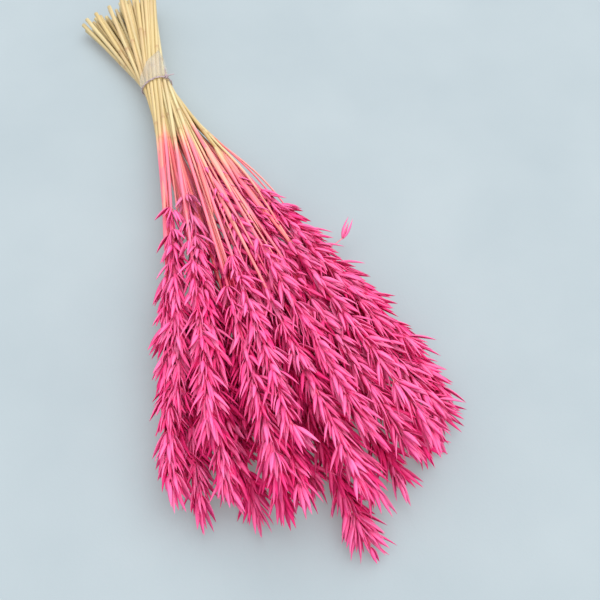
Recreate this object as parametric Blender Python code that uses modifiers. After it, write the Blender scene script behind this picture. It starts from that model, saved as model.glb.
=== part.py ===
"""Dried oats bundle: stalks of oats with their heads, tied once near the cut ends, lying on a table.

The layout is worked out in millimetres, with the tie at Y = 0 and the table at Z = 0, and is scaled to
metres where a mesh is made. The heads point to -Y and the cut ends to +Y. "Along" is a distance from the
tie towards the heads. Each oat is drawn out ring by ring, and its spikelets are raised from the sides of
the nodes of its head wherever they have room.
"""

import math

import bmesh
import bpy
import numpy as np
from mathutils import Vector

MM = 0.001
SEED = 43

# The bundle: how many oats, and how far from the tie their tips and cut ends lie
OATS = 35
REACH = 483.0
REACH_SWING = 15.5
SWING_PERIOD = 0.708
SWING_START = -0.0754
SHARE_START = 0.2495
LONGEST_REACH = 527.0
LONGEST_SLOPE = 0.0358
SHORTEST_REACH = 308.0
SHORTER_RIGHT = 57.5
SHORT_SHARE_POWER = 3.036
EDGE_SHORTER = 0.133
WIDEST_SLOPE = 0.35
CUT_REACH = 122.0
CUT_SCATTER = 4.0

# One stalk
STALK_SIDES = 5
CUT_RADIUS = 2.0
TIE_RADIUS = 1.8
NECK_RADIUS = 1.2
TIP_RADIUS = 0.55
STALK_GAP = 0.35

# How the stalks cross at the tie and fan out
WAIST_HALF_WIDTH = 13.2
WAIST_HALF_HEIGHT = 10.0
FAN_PER_HEIGHT = -0.0306
FAN_BOW = 0.197
BOW_END = 350.0
BACK_WIDER = 1.22
LIFT_PER_WIDTH = 0.0062
TIE_HEIGHT = 18.5
CUT_END_HEIGHT = 16.0
HEAD_HEIGHT = 42.0
HEADS_AT = 400.0
EDGE_SAG = 20.0
EDGE_AT = 130.0
HEAD_SPACING = 12.0
LOWEST_CUT_END = 1.8
LOWEST_STALK = 3.0
LOWEST_HEAD = 9.0
STATIONS = (-125.0, -60.0, -25.0, 0.0, 25.0, 60.0, 130.0, 200.0, 265.0, 330.0, 395.0, 460.0, 540.0)
BACK, FRONT = STATIONS[0], STATIONS[-1]

# How the stalks settle against each other
PACKING_STEPS = 900
FREE_STEPS = 330
TIGHT_STEPS = 90
PULL = 0.03
STIFFNESS = 0.1
PUSH = 0.3

# One head
HEAD_LENGTH = 188.0
NODES = 7
NODE_LENGTH = 4.0
SPIKELETS_PER_NODE = 4
NECK_LENGTH = (7.0, 15.0)
GLUME_LENGTH = (14.0, 18.0)
LEAN = (14.0, 33.0)
SIDEWAYS = 28.0
MOST_ROLL = 80.0
HALF_WIDTH = 2.6
HALF_THICKNESS = 1.15
SPREAD = 3.8
POINT_RADIUS = 0.2
END_SPIKELET = 16.0
END_BELLY = 7.0
END_WIDER = 3.2
SPIKELET_GAP = 0.5
LEAST_HEIGHT = 0.2
TRIES = 32

# The elastic of the tie
TIE_SIDES = 24
CORD_RADIUS = 1.1
BAND_THICKNESS = 0.7
BAND_SHORT = 4.0
BAND_LONG = 23.0
KNOT_RADIUS = 2.6
KNOT_CORNER = 3
END_RADIUS = 0.8
END_LENGTH = 10.0
END_TURNS = (-0.7, 0.5)


def unit(vector):
    return vector / np.linalg.norm(vector)


def lerp(low, high, share):
    return low + (high - low) * share


def waist_points(rng):
    """Stalk positions across the tie, packed into an ellipse, as (across, up)."""
    half = np.array([WAIST_HALF_WIDTH, WAIST_HALF_HEIGHT])
    pitch = 2 * TIE_RADIUS + STALK_GAP
    points = rng.uniform(-0.9, 0.9, (OATS, 2)) * half
    first, second = np.triu_indices(OATS, 1)
    for _ in range(PACKING_STEPS):
        apart = points[first] - points[second]
        distance = np.maximum(np.linalg.norm(apart, axis=1), 1e-6)
        push = 0.4 * (np.maximum(pitch - distance, 0.0) / distance)[:, None] * apart
        np.add.at(points, first, push)
        np.add.at(points, second, -push)
        outside = np.maximum(np.linalg.norm(points / half, axis=1), 1.0)[:, None]
        points += PUSH * (points / outside - points)
    return points


def reaches(slopes):
    """Distance from the tie to the tip of each head: a stagger across the fan, and one longest oat.

    The short oats of the right side are shorter than those of the left.
    """
    reach = np.empty(OATS)
    golden = 0.5 * (math.sqrt(5) - 1)
    for rank, oat in enumerate(np.argsort(slopes)):
        share = (rank * golden + SHARE_START) % 1.0
        swing = math.sin(2 * math.pi * (slopes[oat] / SWING_PERIOD + SWING_START))
        longest = REACH + REACH_SWING * swing
        edge = 1.0 - EDGE_SHORTER * (slopes[oat] / WIDEST_SLOPE) ** 2
        shortest = SHORTEST_REACH - SHORTER_RIGHT * slopes[oat] / WIDEST_SLOPE
        reach[oat] = edge * lerp(longest, shortest, share ** SHORT_SHARE_POWER)
    reach[np.argmin(abs(slopes - LONGEST_SLOPE))] = LONGEST_REACH
    return reach


def wanted_paths(waist):
    """(across, up) of every stalk at every station, before the stalks push each other apart."""
    along = np.array(STATIONS)
    slope = FAN_PER_HEIGHT * waist[:, 1:]
    bowed = (along > 0.0) & (slope < 0.0)
    bow = np.where(bowed, 1.0 - FAN_BOW * (1.0 - along / BOW_END), 1.0)
    back = (along < 0.0) & (slope > 0.0)
    across = waist[:, :1] + slope * along * bow * np.where(back, BACK_WIDER, 1.0)
    middle = np.interp(along, (BACK, 0.0, HEADS_AT), (CUT_END_HEIGHT, TIE_HEIGHT, HEAD_HEIGHT))
    up = middle + waist[:, 1:] + LIFT_PER_WIDTH * waist[:, :1] * along
    sag = EDGE_SAG * (across / EDGE_AT) ** 2 * np.clip(along / HEADS_AT, 0.0, 1.0)
    return np.stack([across, up - sag], axis=-1)


def least_distance(along):
    """How far apart two stalks stay, middle to middle, at this distance from the tie."""
    near = 2 * TIE_RADIUS + STALK_GAP + 0.1
    return np.interp(along, (BACK, 0.0, 60.0, 300.0), (near + 0.4, near, near + 0.1, HEAD_SPACING))


def push_apart(paths, station, one, two):
    """Moves pairs of stalks that come too near between this station and the next."""
    run = STATIONS[station + 1] - STATIONS[station]
    before = paths[one, station] - paths[two, station]
    change = paths[one, station + 1] - paths[two, station + 1] - before
    share = -(before * change).sum(-1) / np.maximum((change * change).sum(-1), 1e-9)
    share = np.clip(share, 0.0, 1.0)
    nearest = before + share[:, None] * change
    distance = np.maximum(np.linalg.norm(nearest, axis=1), 1e-6)
    steep = np.sqrt(1.0 + (np.linalg.norm(change, axis=1) / run) ** 2)
    room = steep * least_distance(STATIONS[station] + run * share)
    push = PUSH * (np.maximum(room - distance, 0.0) / distance)[:, None] * nearest
    for which, weight in ((station, 1.0 - share), (station + 1, share)):
        np.add.at(paths, (one, which), weight[:, None] * push)
        np.add.at(paths, (two, which), -weight[:, None] * push)


def settle(paths, reach):
    """Lets the stalks push each other apart while they stay near their places and above the table."""
    wanted = paths.copy()
    first, second = np.triu_indices(OATS, 1)
    lowest = (LOWEST_CUT_END, LOWEST_STALK, LOWEST_HEAD, LOWEST_HEAD)
    floor = np.interp(STATIONS, (BACK, 60.0, 250.0, FRONT), lowest)
    shorter = np.minimum(reach[first], reach[second])
    for step in range(FREE_STEPS + TIGHT_STEPS):
        if step < FREE_STEPS:
            paths += PULL * (wanted - paths)
            moved = paths - wanted
            paths[:, 1:-1] += STIFFNESS * (0.5 * (moved[:, :-2] + moved[:, 2:]) - moved[:, 1:-1])
        for station in range(len(STATIONS) - 1):
            live = shorter > STATIONS[station] - 20.0
            push_apart(paths, station, first[live], second[live])
        paths[..., 1] = np.maximum(paths[..., 1], floor)
    return paths


def stalk_radius(along, tip):
    """A stalk thins from its cut end to its neck, and again to the tip of its head."""
    stops = (-CUT_REACH, 0.0, tip - HEAD_LENGTH, tip)
    return float(np.interp(along, stops, (CUT_RADIUS, TIE_RADIUS, NECK_RADIUS, TIP_RADIUS)))


def ring_stations(cut, tip):
    """Distances along the bundle of a stalk's rings, and which of the rings start a node of the head."""
    neck = tip - HEAD_LENGTH
    rings = [cut] + [s for s in STATIONS[1:7] if s < neck - 15.0]
    rings += [s for s in STATIONS[7:9] if s < neck - 45.0]
    step = (HEAD_LENGTH - END_SPIKELET - NODE_LENGTH) / NODES
    starts = []
    for node in range(NODES):
        starts.append(len(rings))
        rings += [neck + step * node, neck + step * node + NODE_LENGTH]
    return rings + [tip - END_SPIKELET], starts


class Oat:
    """The layout of one oat: the middle, radius, heading and turn of each ring of its stalk."""

    def __init__(self, path, reach, cut, turn):
        fan = math.atan2(path[-1, 0] - path[3, 0], FRONT)
        tip = reach * math.cos(fan)
        self.along, self.starts = ring_stations(cut, tip)
        across = np.interp(self.along, STATIONS, path[:, 0])
        up = np.interp(self.along, STATIONS, path[:, 1])
        self.points = np.stack([across, -np.array(self.along), up], axis=1)
        self.radii = [stalk_radius(s, tip) for s in self.along]
        self.turns = [turn] * len(self.along)
        for number, start in enumerate(self.starts):
            for ring in range(start, len(self.along)):
                self.turns[ring] = turn + number * math.pi / STALK_SIDES
        ends = np.concatenate([self.points[:1], self.points, self.points[-1:]])
        self.headings = [unit(after - before) for before, after in zip(ends, ends[2:])]

    def around(self, ring, angle):
        """The direction square to the stalk at this angle round it, starting from above."""
        heading = self.headings[ring]
        up = unit(np.array([0.0, 0.0, 1.0]) - heading[2] * heading)
        return math.cos(angle) * up + math.sin(angle) * np.cross(heading, up)

    def ring(self, index):
        """Corners of one ring."""
        angles = self.turns[index] + 2 * math.pi * np.arange(STALK_SIDES) / STALK_SIDES
        around = np.array([self.around(index, angle) for angle in angles])
        return self.points[index] + self.radii[index] * around

    def outward(self, index, face):
        """The direction that one side of the stalk faces."""
        return self.around(index, self.turns[index] + 2 * math.pi * (face + 0.5) / STALK_SIDES)

    def end_spikelet(self):
        """The widest section and the tip of the spikelet that ends the head."""
        end, heading = self.points[-1], self.headings[-1]
        return end + END_BELLY * heading, end + END_SPIKELET * heading

    def runs(self):
        """Tapered rods that stand for the stalk when the room round it is measured."""
        rods = list(zip(self.points, self.points[1:], self.radii, self.radii[1:]))
        wide, tip = self.end_spikelet()
        thick = END_WIDER * TIP_RADIUS + 0.2
        return rods + [(self.points[-1], wide, TIP_RADIUS, thick), (wide, tip, thick, 0.1)]

    def at(self, along):
        """The middle of the stalk at this distance from the tie."""
        return np.array([np.interp(along, self.along, self.points[:, axis]) for axis in range(3)])


class Spikelet:
    """A pair of glumes on a short neck, raised from one side of the stalk at a node of the head."""

    def __init__(self, oat, ring, face, rng):
        self.ring = ring
        self.face = face
        corners = np.concatenate([oat.ring(ring), oat.ring(ring + 1)])
        pick = [face, (face + 1) % STALK_SIDES]
        self.root = corners[pick + [STALK_SIDES + p for p in pick]].mean(axis=0)
        self.heading = oat.headings[ring]
        swing = math.radians(rng.uniform(-SIDEWAYS, SIDEWAYS))
        lean = math.radians(rng.uniform(*LEAN))
        outward = oat.outward(ring, face)
        outward = math.cos(swing) * outward + math.sin(swing) * np.cross(self.heading, outward)
        self.axis = math.cos(lean) * self.heading + math.sin(lean) * outward
        across = np.cross(self.heading, outward)
        inward = math.sin(lean) * self.heading - math.cos(lean) * outward
        self.roll = math.radians(rng.uniform(-MOST_ROLL, MOST_ROLL))
        self.side = math.cos(self.roll) * across + math.sin(self.roll) * inward
        self.flat = math.cos(self.roll) * inward - math.sin(self.roll) * across
        self.belly = self.root + rng.uniform(*NECK_LENGTH) * self.axis
        middle = self.belly + rng.uniform(*GLUME_LENGTH) * self.axis
        self.tips = np.array([middle - SPREAD * self.side, middle + SPREAD * self.side])
        self.tips[:, 2] = np.maximum(self.tips[:, 2], 0.0)

    def belly_corners(self):
        """The four corners of the widest section: wide along side, thin along flat."""
        wide = HALF_WIDTH * self.side
        thin = HALF_THICKNESS * self.flat
        return self.belly + np.array([-wide, -thin, wide, thin])

    def runs(self):
        """Tapered rods that stand for this shape when the room round it is measured."""
        middle = 0.5 * (self.root + self.belly)
        halves = self.belly + 0.5 * HALF_WIDTH * np.array([[-1.0], [1.0]]) * self.side
        thick = 0.5 * (HALF_WIDTH + 1.0)
        return [
            (self.root, middle, 1.0, thick),
            (middle, self.belly, thick, HALF_WIDTH),
            (halves[0], self.tips[0], thick, POINT_RADIUS),
            (halves[1], self.tips[1], thick, POINT_RADIUS),
        ]


class Room:
    """Every rod placed so far, with the number of its oat and whether it is bare stem."""

    def __init__(self):
        self.start = np.zeros((0, 3))
        self.end = np.zeros((0, 3))
        self.radii = np.zeros((0, 2))
        self.owner = np.zeros(0, int)
        self.stem = np.zeros(0, bool)

    def add(self, runs, owner, stem):
        self.start = np.concatenate([self.start, [run[0] for run in runs]])
        self.end = np.concatenate([self.end, [run[1] for run in runs]])
        self.radii = np.concatenate([self.radii, [run[2:] for run in runs]])
        self.owner = np.concatenate([self.owner, np.full(len(runs), owner)])
        self.stem = np.concatenate([self.stem, stem])

    def near(self, point, within):
        """Which rods come within this distance of a point."""
        middle = 0.5 * (self.start + self.end)
        half = 0.5 * np.linalg.norm(self.end - self.start, axis=1)
        return np.linalg.norm(middle - point, axis=1) - half < within

    def gaps(self, runs, chosen):
        """The gap between each of these rods and each chosen rod of the room."""
        starts = np.array([run[0] for run in runs])
        ends = np.array([run[1] for run in runs])
        radii = np.array([run[2:] for run in runs])
        one = (ends - starts)[:, None]
        two = (self.end - self.start)[chosen][None]
        apart = starts[:, None] - self.start[chosen][None]
        length_one = (one * one).sum(-1)
        length_two = (two * two).sum(-1)
        both = (one * two).sum(-1)
        on_one = (one * apart).sum(-1)
        on_two = (two * apart).sum(-1)
        square = np.maximum(length_one * length_two - both ** 2, 1e-9)
        share = np.clip((both * on_two - on_one * length_two) / square, 0.0, 1.0)
        other = np.clip((both * share + on_two) / length_two, 0.0, 1.0)
        share = np.clip((both * other - on_one) / length_one, 0.0, 1.0)
        nearest = apart + share[..., None] * one - other[..., None] * two
        thick = lerp(radii[:, :1], radii[:, 1:], share)
        thick = thick + lerp(self.radii[chosen, 0], self.radii[chosen, 1], other)
        return np.linalg.norm(nearest, axis=-1) - thick

    def fits(self, spikelet, owner):
        """Whether a spikelet stays clear of the table and of every rod. Its neck may touch its own stem."""
        if spikelet.belly_corners()[:, 2].min() < LEAST_HEIGHT or spikelet.root[2] < LEAST_HEIGHT:
            return False
        chosen = self.near(spikelet.belly, GLUME_LENGTH[1] + 2 * SPREAD)
        own = self.owner[chosen] == owner
        allowed = np.full((4, chosen.sum()), SPIKELET_GAP)
        allowed[0, own] = -np.inf
        allowed[1, own & self.stem[chosen]] = -np.inf
        return bool((self.gaps(spikelet.runs(), chosen) > allowed).all())


def grow_one(oat, ring, faces, owner, room, rng):
    """The first of several seeded tries that fits, or nothing."""
    for _ in range(TRIES):
        spikelet = Spikelet(oat, ring, faces[rng.integers(len(faces))], rng)
        if room.fits(spikelet, owner):
            room.add(spikelet.runs(), owner, [True, False, False, False])
            return spikelet
    return None


def lay_stalks(rng, room):
    waist = waist_points(rng)
    slopes = FAN_PER_HEIGHT * waist[:, 1]
    reach = reaches(slopes)
    oats = []
    for number, path in enumerate(settle(wanted_paths(waist), reach)):
        cut = -CUT_REACH * math.cos(math.atan(slopes[number]))
        cut += rng.uniform(-CUT_SCATTER, CUT_SCATTER)
        oat = Oat(path, reach[number], cut, rng.uniform(0, 2 * math.pi))
        runs = oat.runs()
        room.add(runs, number, [True] * len(runs))
        oats.append(oat)
    return oats


def lay_out():
    """Every oat of the bundle, and the spikelets that have room on each."""
    rng = np.random.default_rng(SEED)
    room = Room()
    oats = lay_stalks(rng, room)
    placed = [[] for _ in oats]
    places = [(number, node) for number in range(OATS) for node in range(NODES)]
    for _ in range(SPIKELETS_PER_NODE):
        for index in rng.permutation(len(places)):
            number, node = places[index]
            ring = oats[number].starts[node]
            used = {s.face for s in placed[number] if s.ring == ring}
            free = [face for face in range(STALK_SIDES) if face not in used]
            found = grow_one(oats[number], ring, free, number, room, rng)
            if found:
                placed[number].append(found)
    return oats, placed


def middle_of(oats, placed):
    """The middle of the whole bundle seen from above, in the layout."""
    spots = [oat.ring(k) for oat in oats for k in range(len(oat.points))]
    spots += [oat.end_spikelet() for oat in oats]
    for spikelets in placed:
        spots += [np.concatenate([s.belly_corners(), s.tips]) for s in spikelets]
    spots = np.concatenate(spots)
    return 0.5 * (spots.min(axis=0) + spots.max(axis=0))


def clear_scene():
    for obj in list(bpy.data.objects):
        bpy.data.objects.remove(obj, do_unlink=True)
    for collection in list(bpy.data.collections):
        bpy.data.collections.remove(collection)


def make_collection(name):
    collection = bpy.data.collections.new(name)
    bpy.context.scene.collection.children.link(collection)
    return collection


def make_material(name, colour, roughness):
    material = bpy.data.materials.new(name)
    material.use_nodes = True
    shader = material.node_tree.nodes["Principled BSDF"]
    shader.inputs["Base Color"].default_value = (*colour, 1.0)
    shader.inputs["Roughness"].default_value = roughness
    shader.inputs["Metallic"].default_value = 0.0
    material.diffuse_color = (*colour, 1.0)
    return material


def add_object(name, mesh, material, collection):
    mesh.materials.clear()
    mesh.materials.append(material)
    obj = bpy.data.objects.new(name, mesh)
    collection.objects.link(obj)
    return obj


def move_to(verts, spots):
    for vert, spot in zip(verts, spots):
        vert.co = Vector(spot) * MM


def draw_out(bm, face):
    """The face drawn out of this one, with its corners in the same order."""
    return bmesh.ops.extrude_discrete_faces(bm, faces=[face])["faces"][0]


def raise_spikelet(bm, face, spikelet):
    """Draws one side of a node out to the widest section, splits it and pulls the halves to two points."""
    across = np.cross(spikelet.heading, spikelet.axis)
    corners = [np.array(v.co) / MM - spikelet.root for v in face.verts]
    drawn = draw_out(bm, face)
    spots = spikelet.belly_corners()
    first = 1 if spikelet.roll < 0.0 else 0
    verts = [None] * 4
    for vert, corner in zip(drawn.verts, corners):
        ahead = corner @ spikelet.heading > 0.0
        aside = corner @ across > 0.0
        quarter = (3 - aside) if ahead else int(aside)
        slot = (quarter + first) % 4
        vert.co = Vector(spots[slot]) * MM
        verts[slot] = vert
    other = bmesh.utils.face_split(drawn, verts[1], verts[3])[0]
    for vert in bmesh.ops.poke(bm, faces=[drawn, other])["verts"]:
        away = (np.array(vert.co) / MM - spikelet.belly) @ spikelet.side
        vert.co = Vector(spikelet.tips[int(away > 0)]) * MM


def draw_stalk(bm, oat):
    """The stalk, drawn out ring by ring. Gives its end face, and its side faces by ring and side."""
    foot = bmesh.ops.create_circle(bm, cap_ends=True, segments=STALK_SIDES, radius=MM)["verts"]
    move_to(foot, oat.ring(0))
    end = foot[0].link_faces[0]
    order = [foot.index(vert) for vert in end.verts]
    sides = {}
    for ring in range(1, len(oat.points)):
        end = draw_out(bm, end)
        spots = oat.ring(ring)
        move_to(end.verts, [spots[k] for k in order])
        for corner, loop in enumerate(end.loops):
            pair = sorted((order[corner], order[(corner + 1) % STALK_SIDES]))
            side = pair[0] if pair[1] - pair[0] == 1 else pair[1]
            sides[ring - 1, side] = next(f for f in loop.edge.link_faces if f is not end)
    bmesh.ops.holes_fill(bm, edges=[e for e in bm.edges if e.is_boundary])
    return end, sides


def end_head(bm, end, oat):
    """The spikelet that ends the head, a spindle in line with the stalk."""
    middle = oat.points[-1]
    belly, tip = oat.end_spikelet()
    drawn = draw_out(bm, end)
    move_to(drawn.verts, [belly + END_WIDER * (np.array(v.co) / MM - middle) for v in drawn.verts])
    point = bmesh.ops.poke(bm, faces=[drawn])["verts"][0]
    point.co = Vector(tip) * MM


def build_oat(name, oat, spikelets, material, collection):
    bm = bmesh.new()
    end, sides = draw_stalk(bm, oat)
    end_head(bm, end, oat)
    for spikelet in spikelets:
        raise_spikelet(bm, sides[spikelet.ring, spikelet.face], spikelet)
    bmesh.ops.recalc_face_normals(bm, faces=bm.faces)
    mesh = bpy.data.meshes.new(name)
    bm.to_mesh(mesh)
    bm.free()
    return add_object(name, mesh, material, collection)


def outline_at(oats, along, outside):
    """Corners, as (across, up), of an outline that passes this far outside the middles of all stalks."""
    here = np.array([oat.at(along) for oat in oats])[:, [0, 2]]
    centre = here.mean(axis=0)
    angles = 2 * math.pi * np.arange(TIE_SIDES) / TIE_SIDES
    facing = np.stack([np.cos(angles), np.sin(angles)], axis=1)
    reach = (facing @ (here - centre).T).max(axis=1) + outside
    after = np.roll(facing, -1, axis=0)
    after_reach = np.roll(reach, -1)
    turn = facing[:, 0] * after[:, 1] - facing[:, 1] * after[:, 0]
    across = (reach * after[:, 1] - after_reach * facing[:, 1]) / turn
    up = (facing[:, 0] * after_reach - after[:, 0] * reach) / turn
    return centre + np.stack([across, up], axis=1)


def evaluated_mesh(obj):
    """The object's shape with its bevel or modifiers applied, and its doubled points made one."""
    bpy.context.view_layer.update()
    mesh = bpy.data.meshes.new_from_object(obj.evaluated_get(bpy.context.evaluated_depsgraph_get()))
    bm = bmesh.new()
    bm.from_mesh(mesh)
    bmesh.ops.remove_doubles(bm, verts=bm.verts, dist=0.01 * MM)
    bmesh.ops.recalc_face_normals(bm, faces=bm.faces)
    bm.to_mesh(mesh)
    bm.free()
    return mesh


def cord_mesh(name, points, radius, closed, collection):
    """A cord through these points, as a closed mesh."""
    curve = bpy.data.curves.new(name, "CURVE")
    curve.dimensions = "3D"
    curve.bevel_depth = radius * MM
    curve.bevel_resolution = 1
    curve.use_fill_caps = not closed
    spline = curve.splines.new("POLY")
    spline.points.add(len(points) - 1)
    for point, spot in zip(spline.points, points):
        point.co = (*(MM * np.array(spot)), 1.0)
    spline.use_cyclic_u = closed
    guide = bpy.data.objects.new(name, curve)
    collection.objects.link(guide)
    mesh = evaluated_mesh(guide)
    bpy.data.objects.remove(guide)
    return mesh


def band_mesh(oats):
    """The flat turns of the elastic: an open sleeve behind the cord, longer on the right than on the left."""
    near = outline_at(oats, 0.0, TIE_RADIUS + STALK_GAP)
    far = outline_at(oats, -BAND_LONG, TIE_RADIUS + STALK_GAP)
    bm = bmesh.new()
    front = bmesh.ops.create_circle(bm, segments=TIE_SIDES, radius=MM)["verts"]
    move_to(front, [(x, 0.0, z) for x, z in near])
    drawn = bmesh.ops.extrude_edge_only(bm, edges=list(bm.edges))["geom"]
    back = [item for item in drawn if isinstance(item, bmesh.types.BMVert)]
    for vert in back:
        index = next(k for k, v in enumerate(front) if (v.co - vert.co).length < 0.001 * MM)
        right = 0.5 + 0.5 * math.cos(2 * math.pi * (index + 0.5) / TIE_SIDES)
        share = lerp(BAND_SHORT, BAND_LONG, right) / BAND_LONG
        x, z = lerp(near[index], far[index], share)
        vert.co = Vector((x, share * BAND_LONG, z)) * MM
    bmesh.ops.recalc_face_normals(bm, faces=bm.faces)
    mesh = bpy.data.meshes.new("band")
    bm.to_mesh(mesh)
    bm.free()
    return mesh


def knot_pieces(ring, collection):
    """The knot on the cord's upper right, and the two ends that stick out of it."""
    spot = ring[KNOT_CORNER]
    out = unit(spot - ring.mean(axis=0))
    knot = np.array([spot[0] + out[0], 0.0, spot[1] + out[1]])
    bpy.ops.mesh.primitive_uv_sphere_add(
        segments=10, ring_count=6, radius=KNOT_RADIUS * MM, location=tuple(knot * MM)
    )
    ball = bpy.context.object
    for holder in list(ball.users_collection):
        holder.objects.unlink(ball)
    collection.objects.link(ball)
    for turn in END_TURNS:
        away = np.array([
            out[0] * math.cos(turn) - out[1] * math.sin(turn),
            0.55 + turn,
            out[0] * math.sin(turn) + out[1] * math.cos(turn),
        ])
        end = knot + END_LENGTH * unit(away)
        bend = 0.5 * (knot + end) + np.array([0.0, 0.0, END_RADIUS])
        mesh = cord_mesh("tie_end", [knot, bend, end], END_RADIUS, False, collection)
        collection.objects.link(bpy.data.objects.new("tie_end", mesh))


def build_tie(oats, material, collection, pieces):
    """The elastic drawn round the stalks where they cross: flat turns, cord, knot and ends, made one."""
    band = bpy.data.objects.new("band", band_mesh(oats))
    collection.objects.link(band)
    thick = band.modifiers.new("thickness", "SOLIDIFY")
    thick.thickness = BAND_THICKNESS * MM
    thick.offset = 1.0
    ring = outline_at(oats, 0.0, TIE_RADIUS + STALK_GAP + CORD_RADIUS)
    cord = cord_mesh("tie_cord", [(x, 0.0, z) for x, z in ring], CORD_RADIUS, True, pieces)
    pieces.objects.link(bpy.data.objects.new("tie_cord", cord))
    knot_pieces(ring, pieces)
    join = band.modifiers.new("join", "BOOLEAN")
    join.operation = "UNION"
    join.operand_type = "COLLECTION"
    join.collection = pieces
    mesh = evaluated_mesh(band)
    mesh.name = "tie"
    bpy.data.objects.remove(band)
    for obj in list(pieces.objects):
        bpy.data.objects.remove(obj, do_unlink=True)
    bpy.data.collections.remove(pieces)
    return add_object("tie", mesh, material, collection)


def main():
    clear_scene()
    collection = make_collection("dried_oats_bundle")
    dyed = make_material("dried_oat", (0.86, 0.16, 0.36), 0.75)
    elastic = make_material("tie_elastic", (0.62, 0.56, 0.56), 0.6)
    oats, placed = lay_out()
    built = []
    for number, (oat, spikelets) in enumerate(zip(oats, placed), 1):
        built.append(build_oat(f"oat_{number:02d}", oat, spikelets, dyed, collection))
    built.append(build_tie(oats, elastic, collection, make_collection("tie_pieces")))
    middle = middle_of(oats, placed)
    base = bpy.data.objects.new("bundle_on_table", None)
    base.location = (-middle[0] * MM, -middle[1] * MM, 0.0)
    collection.objects.link(base)
    for obj in built:
        obj.parent = base


main()
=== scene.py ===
"""Dried oats bundle, dressed: fine heads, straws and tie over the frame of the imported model."""

import math

import bmesh
import bpy
import numpy as np
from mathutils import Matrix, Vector


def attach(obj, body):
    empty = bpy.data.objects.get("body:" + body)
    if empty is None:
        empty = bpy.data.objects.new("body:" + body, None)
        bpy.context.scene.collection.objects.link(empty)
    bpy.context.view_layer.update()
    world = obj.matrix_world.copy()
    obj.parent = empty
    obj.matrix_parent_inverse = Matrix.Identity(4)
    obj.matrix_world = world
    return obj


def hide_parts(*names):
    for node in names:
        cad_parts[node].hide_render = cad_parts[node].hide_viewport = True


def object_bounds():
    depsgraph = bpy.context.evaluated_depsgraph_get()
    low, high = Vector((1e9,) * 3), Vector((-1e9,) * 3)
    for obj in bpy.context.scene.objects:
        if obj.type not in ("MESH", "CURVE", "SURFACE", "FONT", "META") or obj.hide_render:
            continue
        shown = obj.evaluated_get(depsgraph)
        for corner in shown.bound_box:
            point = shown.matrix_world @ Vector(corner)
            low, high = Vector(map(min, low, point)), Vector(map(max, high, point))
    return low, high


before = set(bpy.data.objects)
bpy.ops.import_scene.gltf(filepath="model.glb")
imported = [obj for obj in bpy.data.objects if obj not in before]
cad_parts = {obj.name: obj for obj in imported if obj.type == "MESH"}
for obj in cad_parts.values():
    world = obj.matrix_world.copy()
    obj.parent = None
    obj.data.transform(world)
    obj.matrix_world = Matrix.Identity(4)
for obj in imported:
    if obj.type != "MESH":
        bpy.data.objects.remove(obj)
cad_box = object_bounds()

MM = 0.001
SEED = 43
TURN = 2 * math.pi
BEHIND, UP = np.array([0.0, 1.0, 0.0]), np.array([0.0, 0.0, 1.0])

# The bundle: how many oats, and how far from the tie their tips and cut ends lie
OATS = 35
REACH = 483.0
REACH_SWING = 15.5
SWING_PERIOD = 0.708
SWING_START = -0.0754
SHARE_START = 0.2495
LONGEST_REACH = 527.0
LONGEST_SLOPE = 0.0358
SHORTEST_REACH = 308.0
SHORTER_RIGHT = 57.5
SHORT_SHARE_POWER = 3.036
GOLDEN = 0.5 * (math.sqrt(5) - 1)
EDGE_SHORTER = 0.133
WIDEST_SLOPE = 0.35
CUT_REACH = 122.0
CUT_SCATTER = 4.0

# One stalk
STALK_SIDES = 5
CUT_RADIUS = 2.0
TIE_RADIUS = 1.8
NECK_RADIUS = 1.2
TIP_RADIUS = 0.55
STALK_GAP = 0.35

# How the stalks cross at the tie and fan out
WAIST_HALF_WIDTH = 13.2
WAIST_HALF_HEIGHT = 10.0
FAN_PER_HEIGHT = -0.0306
FAN_BOW = 0.197
BOW_END = 350.0
BACK_WIDER = 1.22
LIFT_PER_WIDTH = 0.0062
TIE_HEIGHT = 18.5
CUT_END_HEIGHT = 16.0
HEAD_HEIGHT = 42.0
HEADS_AT = 400.0
EDGE_SAG = 20.0
EDGE_AT = 130.0
HEAD_SPACING = 12.0
LOWEST_CUT_END = 1.8
LOWEST_STALK = 3.0
LOWEST_HEAD = 9.0
STATIONS = (-125.0, -60.0, -25.0, 0.0, 25.0, 60.0, 130.0, 200.0, 265.0, 330.0, 395.0, 460.0, 540.0)
BACK, FRONT = STATIONS[0], STATIONS[-1]

# How the stalks settle against each other
PACKING_STEPS = 900
FREE_STEPS = 330
TIGHT_STEPS = 90
PULL = 0.03
STIFFNESS = 0.1
PUSH = 0.3
WAIST_PUSH = 0.4
WAIST_START = 0.9
BEYOND_TIP = 20.0

# One head
HEAD_LENGTH = 188.0
NODES = 7
NODE_LENGTH = 4.0
SPIKELETS_PER_NODE = 4
NECK_LENGTH = (7.0, 15.0)
GLUME_LENGTH = (14.0, 18.0)
LEAN = (14.0, 33.0)
SIDEWAYS = 28.0
MOST_ROLL = 80.0
HALF_WIDTH = 2.6
HALF_THICKNESS = 1.15
SPREAD = 3.8
POINT_RADIUS = 0.2
END_SPIKELET = 16.0
END_BELLY = 7.0
END_WIDER = 3.2
SPIKELET_GAP = 0.5
LEAST_HEIGHT = 0.2
TRIES = 32

# The tie: what follows the model
TIE_SIDES = 24
CORD_RADIUS = 1.1
KNOT_CORNER = 3
END_RADIUS = 0.8
END_LENGTH = 10.0
END_TURNS = (-0.7, 0.5)


def unit(vector):
    return vector / np.linalg.norm(vector)


def lerp(low, high, share):
    return low + (high - low) * share


def clamp(share):
    return np.clip(share, 0.0, 1.0)


def circle(sides, start=0.0, flat=1.0):
    """Corners of a ring, as shares of its radius along two directions across it."""
    angles = start + TURN * np.arange(sides) / sides
    return np.stack([np.cos(angles), flat * np.sin(angles)], axis=1)


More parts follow.
